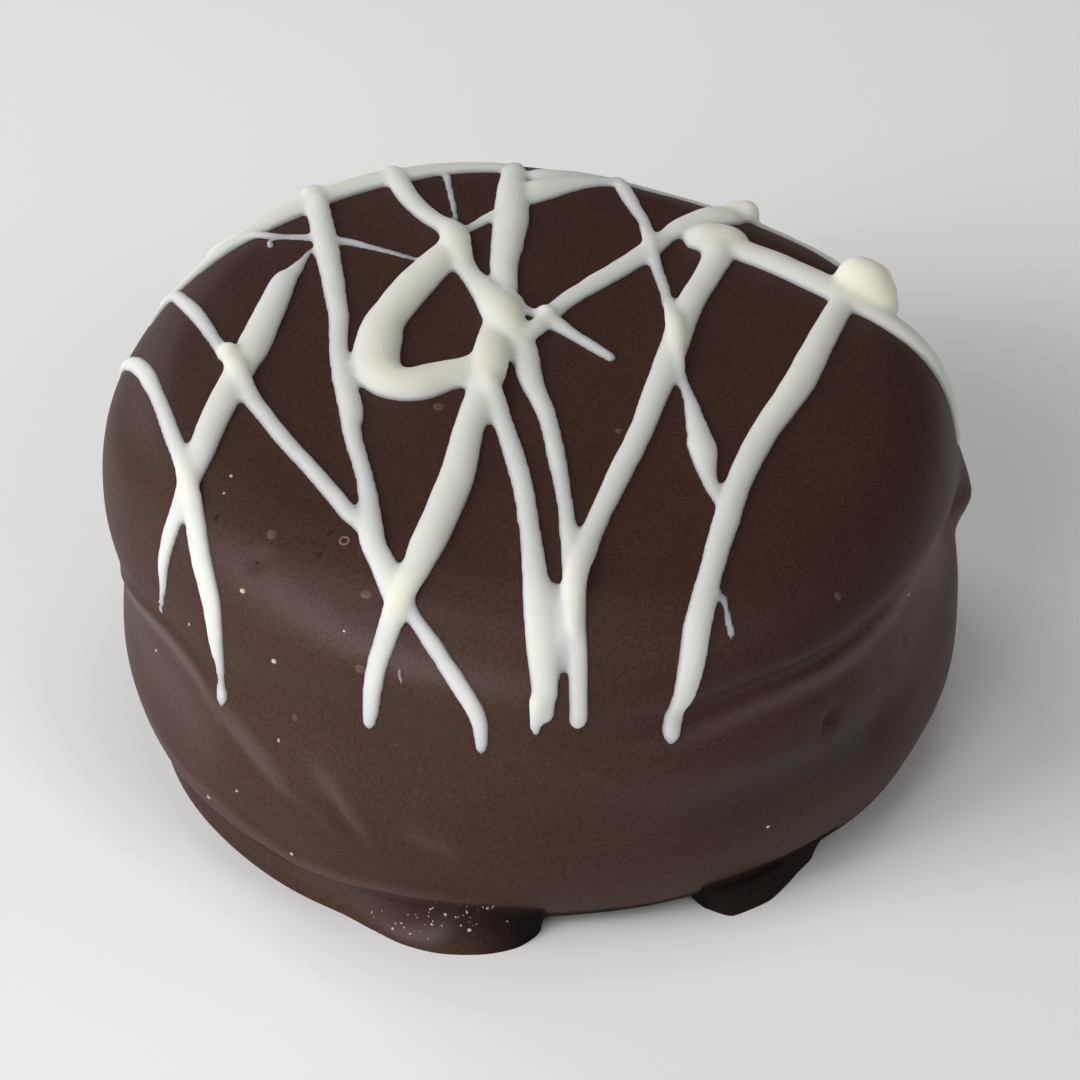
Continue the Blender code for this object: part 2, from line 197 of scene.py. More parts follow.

# Painted shade on the feet, where the coat's overhang shadows them: direction, share under the edge
# and at the floor
FOOT_SHADE_SHARES = (
    (0, 0.0, 0.0),
    (222, 0.0, 0.0),
    (238, 0.1, 0.0),
    (248, 0.15, 0.0),
    (254, 0.35, 0.0),
    (260, 0.8, 0.15),
    (264, 1.0, 0.6),
    (268, 1.0, 1.0),
    (292, 1.0, 1.0),
    (298, 1.0, 0.75),
    (312, 0.95, 0.85),
    (325, 0.6, 0.6),
    (340, 0.0, 0.0),
)
FOOT_SHADE_BELOW = 2.6

# Slow and quick waviness of the poured coat: size of the waves and how far they stand out
SLOW_WAVES = 11.0
SLOW_RISE = 0.12
QUICK_WAVES = 3.2
QUICK_RISE = 0.018

# Strands of the drizzle in the order they fell: u, v and width at each point of the route
STRANDS = {
    "back_rim_left": (
        (-27.0, 10.6, 1.1), (-25.2, 12.8, 1.5), (-22.7, 15.4, 2.1), (-20.2, 17.3, 2.6),
        (-17.4, 19.0, 2.7), (-14.6, 20.8, 2.7), (-11.7, 22.3, 2.6), (-9.0, 23.4, 2.4),
        (-6.0, 24.7, 2.0), (-1.5, 25.7, 1.8),
    ),
    "left_rim_film": (
        (-28.4, 7.4, 0.8), (-27.6, 9.4, 0.9), (-26.7, 11.2, 1.0), (-24.9, 13.4, 1.2),
    ),
    "back_rim_right": (
        (-1.3, 20.2, 1.4), (0.0, 21.5, 2.0), (1.6, 22.9, 2.0), (3.8, 24.6, 1.8), (6.6, 25.6, 1.5),
    ),
    "back_rim_film": ((-0.8, 24.4, 2.0), (1.0, 25.0, 2.0), (3.5, 25.8, 1.6), (6.5, 26.4, 1.0)),
    "back_wedge_film": ((-1.0, 22.0, 2.4), (0.6, 23.0, 2.4), (2.4, 24.0, 2.2), (4.8, 25.2, 1.6)),
    "back_edge_film": (
        (6.8, 26.0, 1.0), (9.3, 25.3, 0.9), (11.6, 24.7, 0.9), (13.6, 24.0, 1.1), (14.6, 23.4, 1.2),
    ),
    "right_edge_film": (
        (16.2, 22.4, 1.2), (17.6, 21.4, 1.1), (19.0, 20.2, 1.0), (20.8, 18.4, 1.0),
        (22.6, 15.8, 1.1),
    ),
    "back_thin": (
        (-23.8, 14.6, 0.5), (-21.5, 16.0, 0.8), (-17.9, 15.4, 0.9), (-13.8, 14.6, 1.1),
        (-10.4, 13.2, 0.8), (-8.0, 12.0, 0.6),
    ),
    "back_drip": ((-19.0, 15.3, 0.7), (-19.0, 13.9, 0.6)),
    "back_faint": ((-6.2, 23.6, 0.8), (-5.9, 20.8, 0.65), (-5.6, 18.2, 0.6), (-5.6, 16.0, 0.55)),
    "left_thick": (
        (-15.9, 13.7, 0.5), (-16.7, 12.0, 0.8), (-17.4, 10.7, 1.4), (-18.1, 9.5, 2.0),
        (-19.1, 4.8, 2.4), (-19.7, 0.8, 2.6), (-20.3, -2.0, 2.3), (-21.6, -7.3, 2.3),
        (-22.8, -11.8, 2.0), (-24.5, -15.0, 1.7), (-26.2, -16.5, 1.7), (-27.9, -17.5, 1.5),
        (-29.6, -18.6, 1.1), (-32.5, -19.5, 0.6),
    ),
    "left_thin": (
        (-34.0, 7.0, 0.6), (-31.6, 4.9, 1.0), (-28.8, 2.2, 1.4), (-26.9, -0.8, 1.5),
        (-25.8, -3.5, 1.3), (-25.0, -5.8, 1.3), (-24.0, -9.7, 1.4), (-23.4, -13.1, 1.5),
        (-23.6, -17.3, 1.8), (-24.7, -21.4, 2.1), (-25.9, -23.3, 2.1), (-27.4, -24.8, 1.9),
        (-28.8, -26.0, 1.4), (-29.7, -26.8, 1.1), (-30.1, -27.5, 1.7), (-30.4, -28.2, 2.1),
    ),
    "left_cross": (
        (-31.5, 15.5, 1.3), (-29.6, 13.4, 1.4), (-27.8, 11.6, 1.3), (-26.4, 10.3, 1.2),
        (-25.3, 8.0, 1.3), (-24.1, 5.6, 1.4), (-22.3, 1.9, 1.2), (-21.0, -0.3, 1.7),
        (-19.6, -3.9, 1.6), (-17.7, -7.9, 1.5), (-15.5, -13.1, 1.5), (-13.4, -18.4, 1.5),
        (-12.6, -19.7, 1.5), (-11.9, -21.3, 1.2),
    ),
    "long_back": (
        (-15.8, 22.6, 1.7), (-15.1, 17.4, 1.9), (-14.6, 11.6, 1.9), (-14.0, 5.2, 1.6),
        (-13.7, 0.8, 1.5), (-12.6, -5.8, 1.9), (-12.6, -8.8, 1.5), (-12.0, -15.2, 1.4),
        (-11.8, -21.2, 1.9), (-11.2, -23.3, 1.9), (-9.9, -26.3, 2.2), (-8.9, -27.8, 1.3),
        (-7.6, -29.7, 1.4), (-5.5, -33.5, 1.6), (-4.9, -35.5, 1.6), (-5.1, -38.4, 1.2),
    ),
    "loop": (
        (-5.3, 14.6, 2.2), (-6.5, 12.5, 2.9), (-8.2, 9.7, 3.2), (-9.6, 7.0, 3.2),
        (-10.7, 4.4, 3.2), (-11.0, 2.0, 3.4), (-11.0, -0.8, 3.6), (-10.1, -2.7, 4.0),
        (-8.4, -3.1, 4.1), (-6.7, -2.2, 3.7), (-4.6, -1.2, 3.2), (-3.2, 0.4, 2.3),
    ),
    "back_straight": (
        (-1.4, 26.5, 1.4), (-1.6, 23.3, 2.1), (-1.7, 18.0, 2.7), (-2.2, 11.6, 2.2),
        (-2.0, 7.8, 1.8),
    ),
    "back_link": ((-2.4, 18.6, 1.0), (-3.8, 17.1, 1.0), (-5.2, 15.6, 1.0)),
    "middle_thick": (
        (-2.6, 6.2, 1.4), (-2.9, 3.2, 2.4), (-3.3, -1.3, 2.8), (-3.9, -4.5, 2.4), (-4.8, -8.8, 2.3),
        (-5.6, -13.9, 2.6), (-6.9, -19.0, 2.7), (-7.7, -21.6, 2.7), (-8.4, -23.7, 2.4),
        (-9.5, -25.9, 2.1), (-10.8, -28.2, 1.9), (-12.7, -30.8, 1.9), (-14.9, -34.2, 1.7),
        (-16.0, -35.8, 1.2),
    ),
    "middle_back": (
        (-10.2, 23.8, 1.8), (-9.5, 22.1, 1.8), (-8.5, 19.5, 1.9), (-7.2, 17.4, 1.9),
        (-5.8, 15.9, 2.2), (-5.5, 13.7, 2.3), (-5.0, 11.6, 1.9), (-4.2, 9.9, 2.0),
        (-2.8, 7.3, 3.0), (-2.0, 4.2, 3.1), (-0.9, 1.6, 2.3), (-0.3, -2.4, 1.9),
        (0.8, -6.7, 1.5), (1.5, -12.0, 1.4), (2.0, -17.3, 1.3), (2.4, -22.7, 1.7),
        (2.6, -27.4, 1.5), (2.9, -31.6, 1.5), (3.2, -35.3, 1.5),
    ),
    "middle_front": (
        (-3.5, -2.2, 1.3), (-2.8, -5.4, 1.7), (-2.0, -8.8, 1.6), (-1.0, -14.3, 1.6),
        (-0.4, -20.1, 1.6), (-0.1, -24.0, 1.9), (0.2, -28.2, 2.2), (0.5, -31.8, 2.1),
        (0.4, -33.6, 1.9), (0.8, -35.2, 1.2),
    ),
    "front_tip": ((0.0, -32.5, 1.4), (-0.1, -34.8, 1.1), (-0.2, -36.4, 0.8)),
    "front_web": (
        (1.2, -24.0, 0.3), (1.3, -25.8, 1.0), (1.5, -27.8, 1.3), (1.7, -29.8, 0.8), (1.8, -31.2, 0.3),
    ),
    "faint_streak": ((-10.7, -30.9, 0.5), (-10.9, -31.9, 0.6), (-11.1, -32.8, 0.5)),
    "faint_dot": ((-11.4, -33.5, 0.6), (-11.5, -33.9, 0.6)),
    "small_streak": ((11.7, -22.9, 0.6), (12.1, -24.6, 0.7), (12.6, -26.3, 0.8)),
    "slant_back": (
        (0.4, 5.2, 2.4), (1.1, 6.2, 1.8), (2.2, 7.8, 1.7), (4.1, 10.1, 1.9), (6.3, 12.7, 2.0),
        (8.2, 15.2, 2.0), (9.7, 17.5, 1.7), (11.2, 19.4, 2.2), (13.2, 21.0, 2.9),
        (14.7, 21.9, 3.2), (15.8, 22.4, 2.6),
    ),
    "knot_arm": ((0.6, 5.4, 1.6), (0.2, 4.2, 1.6), (-0.4, 3.2, 1.6), (-1.3, 2.2, 1.6)),
    "stub": ((0.5, 5.4, 2.2), (1.6, 4.5, 1.6), (3.1, 3.0, 1.3), (4.5, 1.6, 1.2), (5.6, 0.4, 1.1)),
    "knot_link": ((-2.3, 8.6, 1.4), (-1.4, 7.2, 1.2), (-0.7, 6.2, 0.9), (0.3, 5.6, 1.4)),
    "right_long": (
        (13.4, 17.0, 3.2), (13.4, 15.6, 2.7), (13.2, 14.4, 2.4), (12.5, 12.3, 2.2),
        (10.7, 7.3, 2.2), (9.6, 2.4, 2.2), (8.5, -2.4, 2.1), (7.2, -7.1, 1.9),
        (5.5, -12.2, 1.9), (4.1, -16.9, 1.7), (3.1, -21.0, 1.8), (2.5, -24.0, 1.7),
        (2.4, -26.2, 1.3), (2.5, -28.4, 0.8),
    ),
    "right_blob": ((11.2, 16.2, 3.0), (12.6, 17.5, 4.0), (14.2, 17.6, 4.0), (15.8, 16.4, 3.0)),
    "right_thin": (
        (6.0, 26.3, 1.2), (6.9, 23.3, 1.4), (7.5, 21.2, 1.2), (8.2, 19.1, 1.1), (8.6, 14.8, 1.1),
        (9.2, 10.5, 1.0), (9.5, 7.6, 1.1), (9.7, 5.4, 1.4), (9.8, 3.0, 1.3), (9.9, 0.9, 1.0),
        (10.2, -1.4, 0.9), (10.7, -3.7, 1.1), (11.1, -7.5, 1.8), (11.2, -9.2, 2.2),
        (11.4, -12.6, 1.3), (12.3, -15.9, 1.0),
    ),
    "far_right": (
        (21.9, 10.2, 2.0), (21.3, 8.4, 2.1), (19.9, 4.1, 2.3), (18.5, -0.8, 2.5),
        (17.1, -4.2, 2.4), (15.6, -7.4, 2.2), (13.3, -12.8, 2.0), (12.1, -16.7, 2.0),
        (11.0, -21.2, 1.8), (10.3, -25.2, 2.0), (10.2, -27.4, 2.1), (10.3, -31.6, 1.9),
        (10.6, -35.2, 1.7),
    ),
    "right_rim": (
        (13.8, 17.0, 2.8), (16.6, 15.0, 2.9), (18.6, 13.4, 3.0), (21.8, 10.7, 3.0),
        (23.5, 9.4, 2.9), (26.0, 8.0, 3.0), (28.2, 6.7, 3.0), (30.4, 4.9, 2.5),
        (32.3, 2.7, 1.5), (33.2, 1.0, 0.8),
    ),
}

# These strands run into the ones under them instead of climbing over
MERGING_STRANDS = (
    "left_rim_film", "back_rim_film", "back_wedge_film", "back_edge_film", "right_edge_film",
    "right_rim",
)

# Thick drops that sit on the strands: u, v, radius and height of the middle above the coat
DROPS = (
    (22.9, 11.9, 1.85, 0.8),
    (23.4, 11.5, 1.95, 0.8),
    (23.9, 10.9, 1.75, 0.6),
    (24.4, 10.2, 1.4, 0.4),
    (15.8, 22.3, 1.05, 0.5),
    (15.1, 22.3, 1.05, 0.2),
    (0.7, 5.5, 0.85, 0.1),
    (-21.2, 0.0, 0.85, 0.2),
)

# Sugar specks on the coat, pale blisters in it and dark spots of painted shade in its pinholes:
# u, v and radius.  Their thickness is a share of the radius, and they are a little wider one way
# than the other.
SPECK_THICKNESS = 0.7
BLISTER_THICKNESS = 0.14
PINHOLE_SHADE_THICKNESS = 0.08
DOT_STRETCH = (0.8, 1.2)
SPECKS = (
    (-20.6, -13.5, 0.12), (-21.7, -22.8, 0.2), (-29.1, -22.2, 0.13), (-37.2, -18.8, 0.13),
    (-14.6, -28.0, 0.1), (-22.1, -28.3, 0.19), (-25.2, -33.1, 0.13), (-32.1, -33.6, 0.13),
    (-28.9, -40.9, 0.13), (-38.5, -31.3, 0.16), (24.2, -40.2, 0.13), (31.9, -16.3, 0.1),
    (-21.2, -15.1, 0.1), (-33.6, -40.6, 0.15), (-30.2, -41.8, 0.12), (-27.5, -44.5, 0.12),
    (-23.5, -47.2, 0.12), (-17.5, -49.2, 0.12),
)
BLISTERS = (
    (-18.5, -19.7, 0.36), (-12.3, -25.9, 0.4), (-23.1, -32.7, 0.26), (20.0, -21.4, 0.34),
    (5.6, -7.7, 0.3), (-6.7, -5.8, 0.42), (-12.2, -5.4, 0.3), (-14.2, -30.9, 0.42),
)
PINHOLE_SHADE_SPOTS = (
    (-22.0, -17.0, 0.22), (-19.3, -11.8, 0.16), (-14.7, -20.6, 0.2), (-15.5, -22.3, 0.26),
    (-19.9, -21.4, 0.32),
)

# Rim of the burst bubble: its place, its radius, the radius of its wall, and its parts
BUBBLE_PLACE = (-13.7, -21.5)
BUBBLE_RADIUS = 0.3
BUBBLE_WALL = 0.09
BUBBLE_PARTS = 24
BUBBLE_WALL_PARTS = 10

# Crumbs that stuck to the left foot: direction and distance of the cluster's middle, spread in
# degrees and in millimetres, number of crumbs
CRUMB_CLUSTERS = (
    (257.5, 53.2, 2.8, 0.5, 24),
    (250.0, 54.4, 3.6, 0.35, 16),
    (263.0, 52.6, 2.4, 0.5, 9),
)
CRUMB_RADIUS = (0.035, 0.1)
CRUMB_STRETCH = (0.4, 2.0)
CRUMB_LIMIT = 54.9

# How a strand lies: spacing of its stations, height of its middle, how flat it is, how it climbs
# over earlier strands and how blunt its tips are.  Shares are of its width or radius.
STATION_SPACING = 0.4
MIDDLE_SHARE = -0.02
FLATNESS = 0.58
CLIMB_SHARE = 0.6
CLIMB_EASE = 4
CLIMB_REACH = 2.0
TIP_SHARE = 0.12
TUBE_RESOLUTION = 5

# The routes follow the strands' outlines as seen from the front and above.  A strand that runs
# across the view stands up and hides its back, so its base is narrower and nearer the viewer.
BASE_SHIFT = 0.08
BASE_NARROWING = 0.10

# How the strands are melted into one skin: size of the cells, rounds and strength of smoothing,
# size of the waves and how far they stand out
MELT_VOXEL = 0.2
MELT_SMOOTHING = 6
MELT_SOFTNESS = 0.5
DRIZZLE_WAVES = 1.6
DRIZZLE_RISE = 0.05

# Sizes and heights of the patterns in the finishes.  The real grain of set chocolate is too fine
# to show, so the grain and the speckle are drawn as coarse as they need to be.
CLOUD_SIZE = 14.0
GRAIN_SIZE = 0.35
SPECKLE_SIZE = 0.22
DRIZZLE_CLOUD_SIZE = 2.5
BIT_MOTTLE_SIZE = 0.3
BOARD_MOTTLE_SIZE = 60.0
GRAIN_HEIGHT = 0.06
DRIZZLE_CLOUD_HEIGHT = 0.1

# Colours of the chocolate: two tones, each a little uneven, the grey values of the speckle where
# one goes over to the other, and the colours of the painted highlights and painted shade
COUVERTURE_DARK = ("#311b14", "#382119")
COUVERTURE_LIGHT = ("#3f281f", "#492f26")
SPECKLE_LIMITS = (0.3, 0.7)
COUVERTURE_PAINTED_HIGHLIGHT = "#796b68"
COUVERTURE_PAINTED_SHADE = "#0d0705"
COUVERTURE_ROUGHNESS = (0.48, 0.58)
FOOT_ROUGHNESS = 0.95

# Colours of the white chocolate by its depth: thin film, even strand and thick drop.  Light
# scatters inside it as far as its glow.
WHITE_FILM = "#a8a4a1"
WHITE_STRAND = "#dbdcd4"
WHITE_DROP = "#e5e2d1"
STRAND_DEPTH = 0.3
DROP_DEPTH = 1.0
WHITE_ROUGHNESS = (0.6, 0.72)
WHITE_GLOW = 2.6

# Soft square lights around the alfajor: direction and height in degrees, power in watts
LIGHTS = {
    "window_low": (190.0, 8.0, 0.75),
    "window_middle": (209.0, 28.0, 1.85),
    "window_high": (235.0, 40.0, 0.75),
    "window_front": (243.0, 12.0, 0.55),
    "room_right": (314.0, 36.0, 0.5),
    "room_far_right": (2.0, 33.0, 0.15),
    "room_back": (130.0, 25.0, 0.9),
    "ceiling": (0.0, 86.0, 0.5),
}
LIGHT_DISTANCE = 600.0
LIGHT_SIZE = 280.0
ROOM_COLOUR = "#ffffff"
ROOM_BRIGHTNESS = 0.07

# The floor is a square board, almost white
BOARD_COLOURS = ("#f6f6f5", "#fafaf9")
FLOOR_HALF_SIZE = 900.0
FLOOR_PARTS = 8

# The photograph's view: 1080 by 1080, camera above the horizon, turned a little about its axis
VIEW_ELEVATION = math.radians(37.0)
VIEW_ROLL = math.radians(-0.3)
VIEW_DISTANCE = 450.0
VIEW_TARGET = (-0.08, 0.0, 12.98)
LENS = 211.35
SENSOR = 36.0
NEAREST_SEEN = 0.01
TO_VIEWER = Vector((0.0, -math.cos(VIEW_ELEVATION), math.sin(VIEW_ELEVATION)))


def smooth_step(value):
    """Ease from 0 to 1 while value goes from 0 to 1."""
    share = min(max(value, 0.0), 1.0)
    return share * share * (3.0 - 2.0 * share)


def smooth_line(points, steps):
    """Points along a smooth line through all the given points."""
    line = []
    last = len(points) - 1
    for index in range(last):
        before = points[max(index - 1, 0)]
        start = points[index]
        end = points[index + 1]
        after = points[min(index + 2, last)]
        for step in range(steps):
            t = step / steps
            line.append(tuple(
                0.5 * (2 * b + (c - a) * t + (2 * a - 5 * b + 4 * c - d) * t * t
                       + (3 * b - a - 3 * c + d) * t ** 3)
                for a, b, c, d in zip(before, start, end, after)
            ))
    line.append(tuple(points[last]))
    return line


def even_line(line, spacing):
    """Points at even spacing along a line, measured over its first two numbers."""
    even = [line[0]]
    carried = 0.0
    for start, end in zip(line, line[1:]):
        length = math.hypot(end[0] - start[0], end[1] - start[1])
        at = spacing - carried
        while at <= length:
            share = at / length
            even.append(tuple(a + (b - a) * share for a, b in zip(start, end)))
            at += spacing
        carried = length - (at - spacing)
    if math.hypot(even[-1][0] - line[-1][0], even[-1][1] - line[-1][1]) < spacing / 2:
        even.pop()
    even.append(line[-1])
    return even


def limited_slope(before, after):
    """Slope of a smooth line where two straight slopes meet: flat where the line turns back."""
    if before * after <= 0.0:
        return 0.0
    return 2.0 * before * after / (before + after)


def around_table(stations):
    """Values at every part of a turn, on a smooth line through the stations given around."""
    turns = [(degrees + turn, *values) for turn in (-360.0, 0.0, 360.0)
             for degrees, *values in stations]
    steps = [[(b - a) / (after[0] - at[0]) for a, b in zip(at[1:], after[1:])]
             for at, after in zip(turns, turns[1:])]
    table = []
    index = 1
    for part in range(TABLE_PARTS):
        degrees = 360.0 * part / TABLE_PARTS
        while turns[index + 1][0] < degrees or turns[index][0] < degrees - 360.0:
            index += 1
        start, end = turns[index], turns[index + 1]
        length = end[0] - start[0]
        t = (degrees - start[0]) / length
        row = []
        for a, b, before, here, after in zip(start[1:], end[1:], steps[index - 1], steps[index],
                                             steps[index + 1]):
            leaving = limited_slope(before, here) * length
            arriving = limited_slope(here, after) * length
            row.append(a + t * (leaving + t * (3 * (b - a) - 2 * leaving - arriving
                                               + t * (2 * (a - b) + leaving + arriving))))
        table.append(row)
    return table


def around(table, degrees):
    """Values at a direction, from a table of values around the alfajor."""
    at = (degrees % 360.0) * TABLE_PARTS / 360.0
    index = int(at)
    share = at - index
    start = table[index % TABLE_PARTS]
    end = table[(index + 1) % TABLE_PARTS]
    return [a + (b - a) * share for a, b in zip(start, end)]


def profile_table():
    """Distance from the middle of the top, radius and height along the turned shape."""
    table = []
    distance = 0.0
    previous = None
    for radius, height in smooth_line(COAT_PROFILE, PROFILE_STEPS):
        if previous is not None:
            distance += math.hypot(radius - previous[0], height - previous[1])
        table.append((distance, radius, height))
        previous = (radius, height)
    return table


PROFILE = profile_table()
WAIST_TABLE = around_table(WAIST)
BULGE_TABLE = around_table(FRONT_BULGE)
FEET_TABLE = around_table(FEET)
FOOT_SHADE_TABLE = around_table(FOOT_SHADE_SHARES)


def profile_at(distance):
    """Radius and height of the turned shape at a distance along it."""
    for (d0, r0, h0), (d1, r1, h1) in zip(PROFILE, PROFILE[1:]):
        if distance <= d1:
            share = (distance - d0) / (d1 - d0)
            return r0 + (r1 - r0) * share, h0 + (h1 - h0) * share
    return PROFILE[-1][1:]


def out_of_round(waves, angle):
    """How far the outline stands out of its circle in a direction."""
    return sum(size * math.cos(count * angle - math.radians(phase)) for count, size, phase in waves)


def shape_coat(radius, height, angle):
    """Place a point of the turned shape on the real, uneven coat."""
    degrees = math.degrees(angle)
    upper = smooth_step((height - SHIFT_FROM) / SHIFT_OVER)
    edge_share = smooth_step(radius / NO_FOOT) * min(radius / NO_FOOT, 1.0)
    oval = upper * out_of_round(UPPER_OVAL, angle) + (1.0 - upper) * out_of_round(LOWER_OVAL, angle)
    reach = radius + oval * edge_share

    waist_height, waist_depth, width_above, width_below = around(WAIST_TABLE, degrees)
    waist_width = width_above if height > waist_height else width_below
    reach -= waist_depth * math.exp(-((height - waist_height) / waist_width) ** 2)

    foot_reach = around(FEET_TABLE, degrees)[0]
    foot_share = smooth_step((foot_reach - NO_FOOT) / FOOT_START)
    crease_off = (height - CREASE_HEIGHT) / CREASE_WIDTH
    crease_reach = reach - CREASE_DEPTH * foot_share * math.exp(-crease_off ** 2)
    if height < CREASE_HEIGHT and foot_share > 0.0 and radius > UNDERSIDE_RINGS[0]:
        spread = (foot_reach - CREASE_REACH) * (height / CREASE_HEIGHT) ** FOOT_SPREAD
        crease_reach += (max(foot_reach - spread, crease_reach) - crease_reach) * foot_share
    reach = crease_reach

    lump_across = reach * math.radians((degrees - LUMP_ANGLE + 180.0) % 360.0 - 180.0)
    lump_off = math.hypot(lump_across, height - LUMP_HEIGHT) / LUMP_RADIUS
    reach += LUMP_RISE * math.exp(-lump_off ** 2)

    x = reach * math.cos(angle) + UPPER_SHIFT[0] * upper
    y = reach * math.sin(angle) + UPPER_SHIFT[1] * upper
    z = height + upper * (x * RISE_TO_RIGHT + y * RISE_TO_BACK)

    bulge = around(BULGE_TABLE, degrees)[0] * smooth_step(
        (BULGE_TOP - height) / BULGE_OVER) * smooth_step((height - BULGE_FOOT) / BULGE_FADE)
    return Vector((x, y, z)) + TO_VIEWER * bulge


def coat_point(u, v):
    """Point of the coat at the place (u, v)."""
    radius, height = profile_at(math.hypot(u, v))
    return shape_coat(radius, height, math.atan2(v, u))


def coat_normal(u, v):
    """Outward direction of the coat at the place (u, v)."""
    along_u = coat_point(u + SLOPE_STEP, v) - coat_point(u - SLOPE_STEP, v)
    along_v = coat_point(u, v + SLOPE_STEP) - coat_point(u, v - SLOPE_STEP)
    return along_u.cross(along_v).normalized()


def fold_rise(u, v, half_width, rise, route):
    """How far a fold stands out at (u, v): full at the middle of its route, nothing at its ends."""
    best = None
    for index, (start, end) in enumerate(zip(route, route[1:])):
        du = end[0] - start[0]
        dv = end[1] - start[1]
        share = ((u - start[0]) * du + (v - start[1]) * dv) / (du * du + dv * dv)
        share = min(max(share, 0.0), 1.0)
        off = math.hypot(u - start[0] - du * share, v - start[1] - dv * share)
        if best is None or off < best[0]:
            best = (off, (index + share) / (len(route) - 1))
    if best[0] > FOLD_CUTOFF * half_width:
        return 0.0
    return rise * math.sin(math.pi * best[1]) * math.exp(-(best[0] / half_width) ** 2)


def folds_at(folds, u, v):
    """What all the given folds or streaks add up to at (u, v)."""
    total = 0.0
    for half_width, rise, route in folds:
        box = FOLD_CUTOFF * half_width
        if (min(at[0] for at in route) - box < u < max(at[0] for at in route) + box
                and min(at[1] for at in route) - box < v < max(at[1] for at in route) + box):
            total += fold_rise(u, v, half_width, rise, route)
    return total


def coat_relief(u, v):
    """How far the surface stands out at (u, v): waviness, dimples, swellings and folds."""
    rise = SLOW_RISE * noise.noise(Vector((u, v, SEED)) / SLOW_WAVES)
    rise += QUICK_RISE * noise.noise(Vector((u, v, -SEED)) / QUICK_WAVES)
    for mark_u, mark_v, along, across, turn, height in MARKS:
        if abs(u - mark_u) + abs(v - mark_v) < MARK_CUTOFF * (along + across):
            cosine = math.cos(math.radians(turn))
            sine = math.sin(math.radians(turn))
            du = u - mark_u
            dv = v - mark_v
            off = ((du * cosine + dv * sine) / along) ** 2 + ((dv * cosine - du * sine) / across) ** 2
            rise += height * math.exp(-off)
    return rise + folds_at(FOLDS, u, v)


def skin_point(u, v):
    """Point of the finished skin of the coat at the place (u, v), and its outward direction."""
    point = coat_point(u, v)
    normal = coat_normal(u, v)
    return point + normal * coat_relief(u, v) * smooth_step(point.z / FLOOR_EASE), normal


def add_object(name, data):
    """Put a new object with the given mesh, curve, light or camera into the scene."""
    thing = bpy.data.objects.new(name, data)
    bpy.context.scene.collection.objects.link(thing)
    return thing


def to_object(name, bm):
    """Turn a bmesh in millimetres into a smooth shaded object in metres."""
    bmesh.ops.scale(bm, verts=bm.verts, vec=(MM, MM, MM))
    mesh = bpy.data.meshes.new(name)
    bm.to_mesh(mesh)
    bm.free()
    mesh.shade_smooth()
    return add_object(name, mesh)


def make_coat():
    """The whole coat: its profile spun around, then every ring pushed to the uneven form."""
    bm = bmesh.new()
    distance_layer = bm.verts.layers.float.new("distance")
    foot_shade_layer = bm.verts.layers.float.new("painted_foot_shade")
    painted_light_layer = bm.verts.layers.float.new("painted_light")
    line = smooth_line(COAT_PROFILE, PROFILE_STEPS)
    outline = [line[0]]
    for lowest, spacing in RING_ZONES:
        zone = [point for point in line if lowest <= point[1] <= outline[-1][1]]
        outline += even_line([outline[-1]] + zone, spacing)[1:]
    outline += [(radius, 0.0) for radius in UNDERSIDE_RINGS]
    distance = 0.0
    chain = []
    for index, (radius, height) in enumerate(outline):
        if index:
            distance += math.hypot(radius - outline[index - 1][0], height - outline[index - 1][1])
        corner = bm.verts.new((radius, 0.0, height))
        corner[distance_layer] = distance
        chain.append(corner)
    edges = [bm.edges.new(pair) for pair in zip(chain, chain[1:])]
    bmesh.ops.spin(
        bm, geom=chain + edges, cent=(0.0, 0.0, 0.0), axis=(0.0, 0.0, 1.0),
        angle=2.0 * math.pi, steps=TURN_STEPS, use_merge=True,
    )
    bmesh.ops.remove_doubles(bm, verts=bm.verts, dist=SAME_PLACE)
    places = []
    for vertex in bm.verts:
        angle = math.atan2(vertex.co.y, vertex.co.x)
        angle -= FRONT_CROWDING * math.cos(angle)
        reach = vertex[distance_layer]
        places.append((reach * math.cos(angle), reach * math.sin(angle)))
        # Painted highlights and painted shade along the coat's folds, rims and ledges
        vertex[painted_light_layer] = folds_at(PAINTED_HIGHLIGHTS_AND_SHADE, *places[-1])
        # Painted shade on the feet under the overhang, full at the floor and fading up to the crease
        edge_shade, floor_shade = around(FOOT_SHADE_TABLE, math.degrees(angle))
        up_share = min(vertex.co.z / CREASE_HEIGHT, 1.0)
        vertex[foot_shade_layer] = (floor_shade + (edge_shade - floor_shade) * up_share) * smooth_step(
            (FOOT_SHADE_BELOW - vertex.co.z) / FLOOR_EASE)
        vertex.co = shape_coat(math.hypot(vertex.co.x, vertex.co.y), vertex.co.z, angle)
    bmesh.ops.recalc_face_normals(bm, faces=bm.faces)
    bm.normal_update()
    normals = [vertex.normal.copy() for vertex in bm.verts]
    for vertex, (u, v), normal in zip(bm.verts, places, normals):
        standing = smooth_step(vertex.co.z / FLOOR_EASE)
        vertex.co += normal * coat_relief(u, v) * standing
    return to_object("chocolate_coat", bm)


def round_tips(stations):
    """Draw the width in at both ends, so that a strand ends in a round tip."""
    total = (len(stations) - 1) * STATION_SPACING
    rounded = []
    for index, (u, v, width) in enumerate(stations):
        travelled = index * STATION_SPACING
        from_end = min(travelled, total - travelled) / (width / 2.0)
        share = math.sqrt(max(1.0 - (1.0 - min(from_end, 1.0)) ** 2, 0.0))
        rounded.append((u, v, width * max(share, TIP_SHARE)))
    return rounded


def point_tree(points):
    """A search tree that finds the points near a place."""
    tree = kdtree.KDTree(max(len(points), 1))
    for index, point in enumerate(points):
        tree.insert(point, index)
    tree.balance()
    return tree


